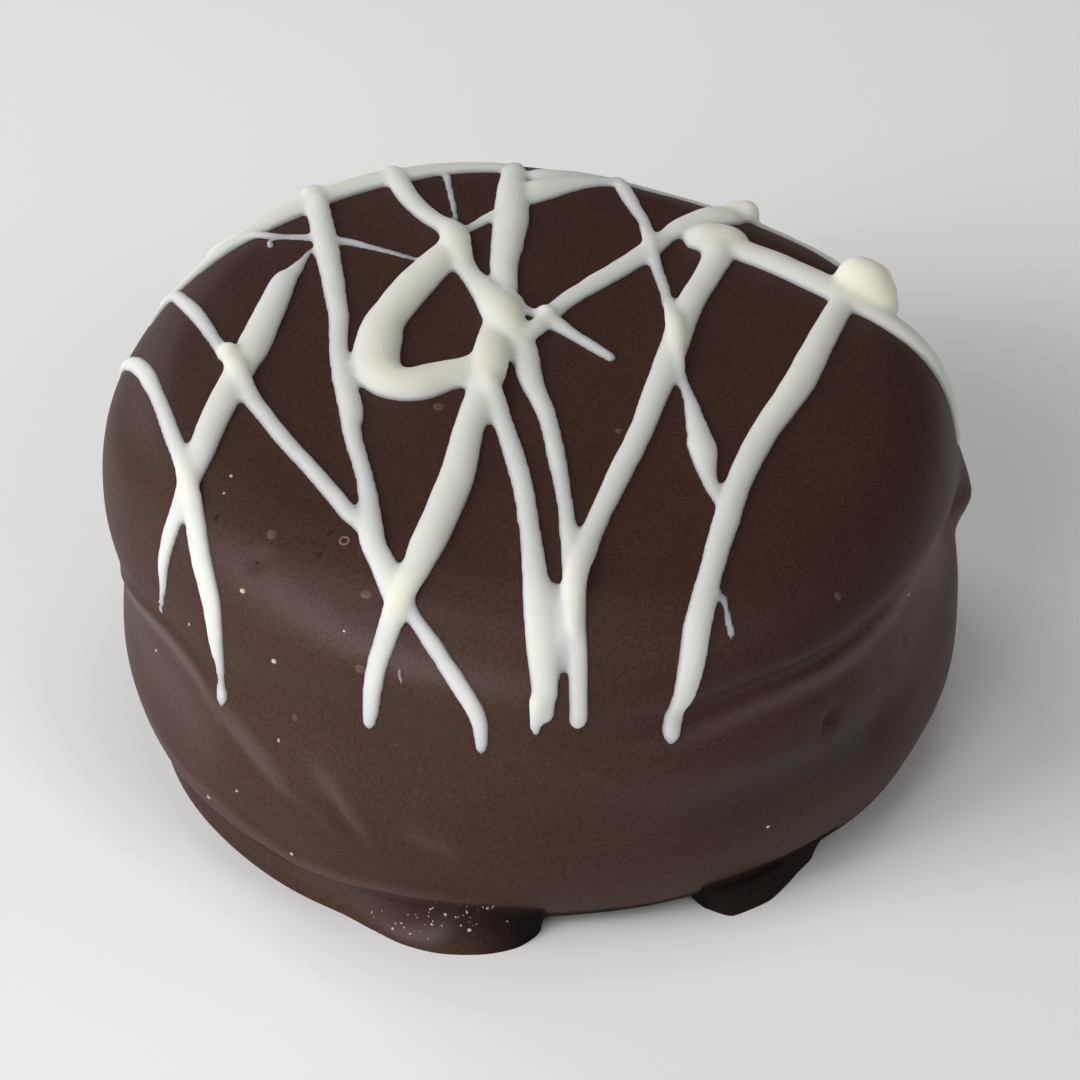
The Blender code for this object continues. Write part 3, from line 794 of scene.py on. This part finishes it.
def climb_over(stations, laid, tree):
    """How far each station of a strand is lifted by the strands that lie under it."""
    lifts = []
    for u, v, width in stations:
        place = coat_point(u, v)
        lift = 0.0
        if laid:
            for found, index, off in tree.find_range(place, CLIMB_REACH):
                half = laid[index][2] / 2.0
                if off < half:
                    cover = half * math.sqrt(1.0 - (off / half) ** 2)
                    lift = max(lift, cover * CLIMB_SHARE)
        lifts.append(lift)
    eased = []
    for index in range(len(lifts)):
        near = lifts[max(index - CLIMB_EASE, 0):index + CLIMB_EASE + 1]
        eased.append(sum(near) / len(near))
    return eased


def base_of(stations, index):
    """Middle, normal and real width of the base of a strand at one of its stations."""
    u, v, width = stations[index]
    before = stations[max(index - 1, 0)]
    after = stations[min(index + 1, len(stations) - 1)]
    du = after[0] - before[0]
    dv = after[1] - before[1]
    distance = math.hypot(u, v)
    around_share = (u * du + v * dv) / (math.hypot(du, dv) * max(distance, 1.0))
    squeeze = profile_at(distance)[0] / max(distance, 1.0)
    width *= math.sqrt(1.0 - around_share ** 2 * (1.0 - min(squeeze, 1.0) ** 2))
    place, normal = skin_point(u, v)
    along = coat_point(after[0], after[1]) - coat_point(before[0], before[1])
    across = normal.cross(along).normalized()
    facing = -across.y
    middle = place + across * facing * BASE_SHIFT * width
    return middle, normal, width * (1.0 - BASE_NARROWING * abs(facing))


def lay_strands():
    """Middle, normal and radius at every station of every strand, and the bases under them."""
    laid = []
    lines = []
    for name, route in STRANDS.items():
        tree = point_tree([place for place, normal, width in laid])
        stations = round_tips(even_line(smooth_line(route, PROFILE_STEPS), STATION_SPACING))
        lifts = climb_over(stations, [] if name in MERGING_STRANDS else laid, tree)
        line = []
        for index, lift in enumerate(lifts):
            place, normal, width = base_of(stations, index)
            line.append((place + normal * (MIDDLE_SHARE * width + lift), normal, width / 2.0))
            laid.append((place, normal, width))
        lines.append(line)
    return lines, laid


def finished_mesh(thing):
    """A new mesh of an object with its modifiers or its bevel applied."""
    graph = bpy.context.evaluated_depsgraph_get()
    return bpy.data.meshes.new_from_object(thing.evaluated_get(graph))


def strand_tube(line):
    """A flattened tube of chocolate along one laid strand."""
    curve = bpy.data.curves.new("strand_line", "CURVE")
    curve.dimensions = "3D"
    curve.bevel_depth = 1.0
    curve.bevel_resolution = TUBE_RESOLUTION
    curve.use_fill_caps = True
    spline = curve.splines.new("POLY")
    spline.points.add(len(line) - 1)
    for point, (middle, normal, radius) in zip(spline.points, line):
        point.co = (*(middle * MM), 1.0)
        point.radius = radius * MM
    tree = point_tree([middle * MM for middle, normal, radius in line])
    guide = add_object("strand_line", curve)
    tube = finished_mesh(guide)
    bpy.data.objects.remove(guide)
    for vertex in tube.vertices:
        middle, index, off = tree.find(vertex.co)
        normal = line[index][1]
        vertex.co -= normal * (vertex.co - middle).dot(normal) * (1.0 - FLATNESS)
    return tube


def strands_and_drops(lines):
    """All tubes and thick drops in one mesh, still running through each other."""
    bm = bmesh.new()
    for line in lines:
        tube = strand_tube(line)
        bm.from_mesh(tube)
        bpy.data.meshes.remove(tube)
    for u, v, radius, height in DROPS:
        place, normal = skin_point(u, v)
        middle = place + normal * height
        bmesh.ops.create_icosphere(
            bm, subdivisions=3, radius=radius * MM, matrix=Matrix.Translation(middle * MM),
        )
    mesh = bpy.data.meshes.new("strands_and_drops")
    bm.to_mesh(mesh)
    bm.free()
    return mesh


def melt_together(name, mesh):
    """Join crossing tubes into one skin and soften the corners where they meet."""
    source = add_object("melting", mesh)
    join = source.modifiers.new("join", "REMESH")
    join.mode = "VOXEL"
    join.voxel_size = MELT_VOXEL * MM
    join.use_smooth_shade = True
    soften = source.modifiers.new("soften", "SMOOTH")
    soften.factor = MELT_SOFTNESS
    soften.iterations = MELT_SMOOTHING
    melted = finished_mesh(source)
    bpy.data.objects.remove(source)
    melted.name = name
    return add_object(name, melted)


def make_drizzle():
    """The drizzle: strands laid in order, melted together, with the depth of chocolate noted."""
    lines, laid = lay_strands()
    drizzle = melt_together("white_drizzle_skin", strands_and_drops(lines))
    tree = point_tree([place for place, normal, width in laid])
    mesh = drizzle.data
    depth = mesh.attributes.new("depth", "FLOAT", "POINT")
    outward = [vertex.normal.copy() for vertex in mesh.vertices]
    for vertex, direction in zip(mesh.vertices, outward):
        place = vertex.co / MM
        vertex.co += direction * DRIZZLE_RISE * MM * noise.noise(place / DRIZZLE_WAVES)
        base, normal, width = laid[tree.find(place)[1]]
        depth.data[vertex.index].value = (place - base).dot(normal)
    return drizzle


def upright(place, normal):
    """Matrix that stands a small piece on the skin, its own Z along the skin's normal."""
    return Matrix.Translation(place) @ normal.to_track_quat("Z", "Y").to_matrix().to_4x4()


def make_dots(name, dots, thickness):
    """Small flattened dots on the coat, all in one piece."""
    bm = bmesh.new()
    chance = random.Random(SEED)
    for u, v, radius in dots:
        place, normal = skin_point(u, v)
        width = radius * chance.uniform(*DOT_STRETCH)
        depth = radius * chance.uniform(*DOT_STRETCH)
        squash = Matrix.Diagonal((width, depth, radius * thickness, 1.0))
        bmesh.ops.create_icosphere(
            bm, subdivisions=2, radius=1.0, matrix=upright(place, normal) @ squash,
        )
    return to_object(name, bm)


def make_bubble():
    """The rim of a burst bubble: a small round ring."""
    bm = bmesh.new()
    place, normal = skin_point(*BUBBLE_PLACE)
    ring = bmesh.ops.create_circle(
        bm, segments=BUBBLE_WALL_PARTS, radius=BUBBLE_WALL,
        matrix=Matrix.Translation((BUBBLE_RADIUS, 0.0, 0.0)) @ Matrix.Rotation(math.pi / 2.0, 4, "X"),
    )
    edges = list({edge for vertex in ring["verts"] for edge in vertex.link_edges})
    bmesh.ops.spin(
        bm, geom=ring["verts"] + edges, cent=(0.0, 0.0, 0.0), axis=(0.0, 0.0, 1.0),
        angle=2.0 * math.pi, steps=BUBBLE_PARTS, use_merge=True,
    )
    bmesh.ops.recalc_face_normals(bm, faces=bm.faces)
    bmesh.ops.transform(bm, matrix=upright(place, normal), verts=bm.verts)
    return to_object("burst_bubble", bm)


def make_crumbs():
    """Pale crumbs scattered in clusters on the left foot."""
    bm = bmesh.new()
    chance = random.Random(SEED)
    for direction, distance, spread, reach, count in CRUMB_CLUSTERS:
        for number in range(count):
            turn = math.radians(chance.gauss(direction, spread))
            away = min(chance.gauss(distance, reach), CRUMB_LIMIT)
            place, normal = skin_point(away * math.cos(turn), away * math.sin(turn))
            size = CRUMB_RADIUS[0] + (CRUMB_RADIUS[1] - CRUMB_RADIUS[0]) * chance.random() ** 2
            sides = [size * chance.uniform(*CRUMB_STRETCH) for axis in range(3)]
            lean = Matrix.Rotation(chance.uniform(0.0, math.pi), 4, "Z")
            bmesh.ops.create_icosphere(
                bm, subdivisions=1, radius=1.0,
                matrix=upright(place, normal) @ lean @ Matrix.Diagonal((*sides, 1.0)),
            )
    return to_object("foot_crumbs", bm)


def srgb(hex_code):
    """Turn an sRGB hex colour to the linear colour that Blender's sockets take."""
    channels = [int(hex_code[at:at + 2], 16) / 255.0 for at in (1, 3, 5)]
    linear = [c / 12.92 if c <= 0.04045 else ((c + 0.055) / 1.055) ** 2.4 for c in channels]
    return (*linear, 1.0)


def pattern_scale(size):
    """Noise scale that makes a pattern of about the given size in millimetres."""
    return 1.0 / (size * MM)


def add_node(tree, kind, inputs, **settings):
    """Add a node with its settings, and set or link its inputs by name or number."""
    made = tree.nodes.new(kind)
    for name, value in settings.items():
        setattr(made, name, value)
    for key, value in inputs.items():
        if isinstance(value, bpy.types.NodeSocket):
            tree.links.new(value, made.inputs[key])
        else:
            made.inputs[key].default_value = value
    return made


def new_material(name):
    """An empty node material, its tree and its output node."""
    material = bpy.data.materials.new(name)
    material.use_nodes = True
    tree = material.node_tree
    tree.nodes.clear()
    return material, tree, tree.nodes.new("ShaderNodeOutputMaterial")


def dark_couverture():
    """Poured dark couverture: deep brown, satin and unevenly dull, with painted highlights and
    painted shade.
    """
    # It sets with a closed skin of cocoa butter, which gives broad, soft highlights
    material, tree, output = new_material("dark_couverture")
    place = add_node(tree, "ShaderNodeTexCoord", {}).outputs["Object"]
    clouds = add_node(tree, "ShaderNodeTexNoise", {
        "Vector": place, "Scale": pattern_scale(CLOUD_SIZE), "Detail": 3.0, "Roughness": 0.5,
    })
    grain = add_node(tree, "ShaderNodeTexNoise", {
        "Vector": place, "Scale": pattern_scale(GRAIN_SIZE), "Detail": 2.0, "Roughness": 0.6,
    })
    specks = add_node(tree, "ShaderNodeTexNoise", {
        "Vector": place, "Scale": pattern_scale(SPECKLE_SIZE), "Detail": 1.0, "Roughness": 0.5,
    })
    speckled = add_node(tree, "ShaderNodeMapRange", {
        "Value": specks.outputs["Fac"],
        "From Min": SPECKLE_LIMITS[0], "From Max": SPECKLE_LIMITS[1],
    })
    darker = add_node(tree, "ShaderNodeMix", {
        0: clouds.outputs["Fac"], 6: srgb(COUVERTURE_DARK[0]), 7: srgb(COUVERTURE_DARK[1]),
    }, data_type="RGBA")
    lighter = add_node(tree, "ShaderNodeMix", {
        0: clouds.outputs["Fac"], 6: srgb(COUVERTURE_LIGHT[0]), 7: srgb(COUVERTURE_LIGHT[1]),
    }, data_type="RGBA")
    colour = add_node(tree, "ShaderNodeMix", {
        0: speckled.outputs["Result"], 6: darker.outputs[2], 7: lighter.outputs[2],
    }, data_type="RGBA")
    # Painted highlights, and painted shade where the share is negative, read from the coat's mesh
    painted_light = add_node(tree, "ShaderNodeAttribute", {}, attribute_name="painted_light")
    with_painted_highlight = add_node(tree, "ShaderNodeMix", {
        0: painted_light.outputs["Fac"], 6: colour.outputs[2], 7: srgb(COUVERTURE_PAINTED_HIGHLIGHT),
    }, data_type="RGBA")
    below = add_node(tree, "ShaderNodeMath", {
        0: painted_light.outputs["Fac"], 1: -1.0,
    }, operation="MULTIPLY")
    with_painted_light = add_node(tree, "ShaderNodeMix", {
        0: below.outputs[0], 6: with_painted_highlight.outputs[2], 7: srgb(COUVERTURE_PAINTED_SHADE),
    }, data_type="RGBA")
    # Painted shade on the feet under the overhang, where the coat is also rougher
    dark = add_node(tree, "ShaderNodeAttribute", {}, attribute_name="painted_foot_shade")
    with_foot_shade = add_node(tree, "ShaderNodeMix", {
        0: dark.outputs["Fac"], 6: with_painted_light.outputs[2], 7: srgb(COUVERTURE_PAINTED_SHADE),
    }, data_type="RGBA")
    dulled = add_node(tree, "ShaderNodeMapRange", {
        "Value": clouds.outputs["Fac"],
        "To Min": COUVERTURE_ROUGHNESS[0], "To Max": COUVERTURE_ROUGHNESS[1],
    })
    duller_feet = add_node(tree, "ShaderNodeMix", {
        0: dark.outputs["Fac"], 2: dulled.outputs["Result"], 3: FOOT_ROUGHNESS,
    }, data_type="FLOAT")
    bump = add_node(tree, "ShaderNodeBump", {
        "Height": grain.outputs["Fac"], "Strength": 0.12, "Distance": GRAIN_HEIGHT * MM,
    })
    shader = add_node(tree, "ShaderNodeBsdfPrincipled", {
        "Base Color": with_foot_shade.outputs[2], "Roughness": duller_feet.outputs[0],
        "IOR": 1.46, "Specular IOR Level": 0.24, "Normal": bump.outputs["Normal"],
    })
    tree.links.new(shader.outputs["BSDF"], output.inputs["Surface"])
    return material


def white_chocolate():
    """Drizzled white chocolate: milky and cream where thick, greyer where the dark shows through."""
    # Light goes a little way into cocoa butter and milk, which softens the shade on each strand
    material, tree, output = new_material("white_chocolate")
    place = add_node(tree, "ShaderNodeTexCoord", {}).outputs["Object"]
    depth = add_node(tree, "ShaderNodeAttribute", {}, attribute_name="depth")
    film = add_node(tree, "ShaderNodeMapRange", {
        "Value": depth.outputs["Fac"], "From Min": 0.0, "From Max": STRAND_DEPTH,
    })
    body = add_node(tree, "ShaderNodeMapRange", {
        "Value": depth.outputs["Fac"], "From Min": STRAND_DEPTH, "From Max": DROP_DEPTH,
    })
    thick = add_node(tree, "ShaderNodeMix", {
        0: body.outputs["Result"], 6: srgb(WHITE_STRAND), 7: srgb(WHITE_DROP),
    }, data_type="RGBA")
    thin = add_node(tree, "ShaderNodeMix", {
        0: film.outputs["Result"], 6: srgb(WHITE_FILM), 7: thick.outputs[2],
    }, data_type="RGBA")
    clouds = add_node(tree, "ShaderNodeTexNoise", {
        "Vector": place, "Scale": pattern_scale(DRIZZLE_CLOUD_SIZE), "Detail": 5.0, "Roughness": 0.6,
    })
    dulled = add_node(tree, "ShaderNodeMapRange", {
        "Value": clouds.outputs["Fac"], "To Min": WHITE_ROUGHNESS[0], "To Max": WHITE_ROUGHNESS[1],
    })
    bump = add_node(tree, "ShaderNodeBump", {
        "Height": clouds.outputs["Fac"], "Strength": 0.25, "Distance": DRIZZLE_CLOUD_HEIGHT * MM,
    })
    shader = add_node(tree, "ShaderNodeBsdfPrincipled", {
        "Base Color": thin.outputs[2], "Roughness": dulled.outputs["Result"],
        "IOR": 1.46, "Subsurface Weight": 0.9, "Subsurface Scale": WHITE_GLOW * MM,
        "Subsurface Radius": (1.0, 0.95, 0.8), "Specular IOR Level": 0.12,
        "Normal": bump.outputs["Normal"],
    })
    tree.links.new(shader.outputs["BSDF"], output.inputs["Surface"])
    return material


def pale_bits(name, light, dark, roughness):
    """Small bits on the coat, a little uneven in colour: sugar, crumb, blister or a pinhole's painted
    shade.
    """
    # They are dry and rough next to the satin coat, so they show as matt dots
    material, tree, output = new_material(name)
    place = add_node(tree, "ShaderNodeTexCoord", {}).outputs["Object"]
    mottle = add_node(tree, "ShaderNodeTexNoise", {
        "Vector": place, "Scale": pattern_scale(BIT_MOTTLE_SIZE), "Detail": 2.0,
    })
    colour = add_node(tree, "ShaderNodeMix", {
        0: mottle.outputs["Fac"], 6: srgb(dark), 7: srgb(light),
    }, data_type="RGBA")
    shader = add_node(tree, "ShaderNodeBsdfPrincipled", {
        "Base Color": colour.outputs[2], "Roughness": roughness, "Specular IOR Level": 0.25,
    })
    tree.links.new(shader.outputs["BSDF"], output.inputs["Surface"])
    return material


def studio_board():
    """Matte white board that the alfajor stands on, very slightly mottled."""
    # It mirrors nothing and takes only soft shadows
    material, tree, output = new_material("studio_board")
    place = add_node(tree, "ShaderNodeTexCoord", {}).outputs["Object"]
    mottle = add_node(tree, "ShaderNodeTexNoise", {
        "Vector": place, "Scale": pattern_scale(BOARD_MOTTLE_SIZE),
    })
    colour = add_node(tree, "ShaderNodeMix", {
        0: mottle.outputs["Fac"], 6: srgb(BOARD_COLOURS[0]), 7: srgb(BOARD_COLOURS[1]),
    }, data_type="RGBA")
    shader = add_node(tree, "ShaderNodeBsdfPrincipled", {
        "Base Color": colour.outputs[2], "Roughness": 0.9, "Specular IOR Level": 0.1,
    })
    tree.links.new(shader.outputs["BSDF"], output.inputs["Surface"])
    return material


def make_floor():
    """The pale floor under the alfajor."""
    bm = bmesh.new()
    bmesh.ops.create_grid(bm, x_segments=FLOOR_PARTS, y_segments=FLOOR_PARTS, size=FLOOR_HALF_SIZE)
    floor = to_object("floor", bm)
    floor.data.materials.append(studio_board())


def add_light(name, azimuth, elevation, power):
    """A soft square light that looks at the alfajor from a direction in degrees."""
    data = bpy.data.lights.new(name, "AREA")
    data.shape = "SQUARE"
    data.size = LIGHT_SIZE * MM
    data.energy = power
    light = add_object(name, data)
    turn = math.radians(azimuth)
    rise = math.radians(elevation)
    level = math.cos(rise)
    towards = Vector((level * math.cos(turn), level * math.sin(turn), math.sin(rise)))
    light.location = (Vector(VIEW_TARGET) + towards * LIGHT_DISTANCE) * MM
    light.rotation_euler = towards.to_track_quat("Z", "Y").to_euler()


def make_studio():
    """Soft light from the left, a weak fill, and a dim room."""
    for name, (azimuth, elevation, power) in LIGHTS.items():
        add_light(name, azimuth, elevation, power)
    world = bpy.data.worlds.new("room")
    world.use_nodes = True
    backdrop = world.node_tree.nodes["Background"]
    backdrop.inputs["Color"].default_value = srgb(ROOM_COLOUR)
    backdrop.inputs["Strength"].default_value = ROOM_BRIGHTNESS
    bpy.context.scene.world = world
    bpy.context.scene.view_settings.view_transform = "Standard"


def make_camera():
    """The camera at the photograph's view."""
    data = bpy.data.cameras.new("camera")
    data.lens = LENS
    data.sensor_width = SENSOR
    data.sensor_fit = "HORIZONTAL"
    data.clip_start = NEAREST_SEEN
    camera = add_object("camera", data)
    forward = Vector((0.0, math.cos(VIEW_ELEVATION), -math.sin(VIEW_ELEVATION)))
    right = Vector((1.0, 0.0, 0.0))
    up = right.cross(forward)
    camera_right = right * math.cos(VIEW_ROLL) + up * math.sin(VIEW_ROLL)
    camera_up = up * math.cos(VIEW_ROLL) - right * math.sin(VIEW_ROLL)
    camera.location = (Vector(VIEW_TARGET) - forward * VIEW_DISTANCE) * MM
    axes = (camera_right, camera_up, -forward)
    turned = [[axis[row] for axis in axes] for row in range(3)]
    camera.rotation_euler = Matrix(turned).to_euler()
    bpy.context.scene.camera = camera


make_camera()
make_studio()
make_floor()

coat = make_coat()
coat.data.materials.append(dark_couverture())
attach(coat, "root")
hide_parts("coated_alfajor")

drizzle = make_drizzle()
drizzle.data.materials.append(white_chocolate())
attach(drizzle, "root")
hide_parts("white_drizzle")

specks = make_dots("sugar_specks", SPECKS, SPECK_THICKNESS)
specks.data.materials.append(pale_bits("sugar_speck", "#d6c6b4", "#b09a88", 0.6))
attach(specks, "root")

blisters = make_dots("pale_blisters", BLISTERS, BLISTER_THICKNESS)
blisters.data.materials.append(pale_bits("milky_blister", "#604a41", "#4e382f", 0.5))
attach(blisters, "root")

# Dark dots of painted shade in the coat's pinholes
pinholes = make_dots("painted_pinhole_shade", PINHOLE_SHADE_SPOTS, PINHOLE_SHADE_THICKNESS)
pinholes.data.materials.append(pale_bits("pinhole_shade", "#301d16", "#241610", 0.8))
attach(pinholes, "root")

bubble = make_bubble()
bubble.data.materials.append(pale_bits("bubble_rim", "#84675b", "#6a4f45", 0.5))
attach(bubble, "root")

crumbs = make_crumbs()
crumbs.data.materials.append(pale_bits("biscuit_crumb", "#d8c9b8", "#a89282", 0.8))
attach(crumbs, "root")
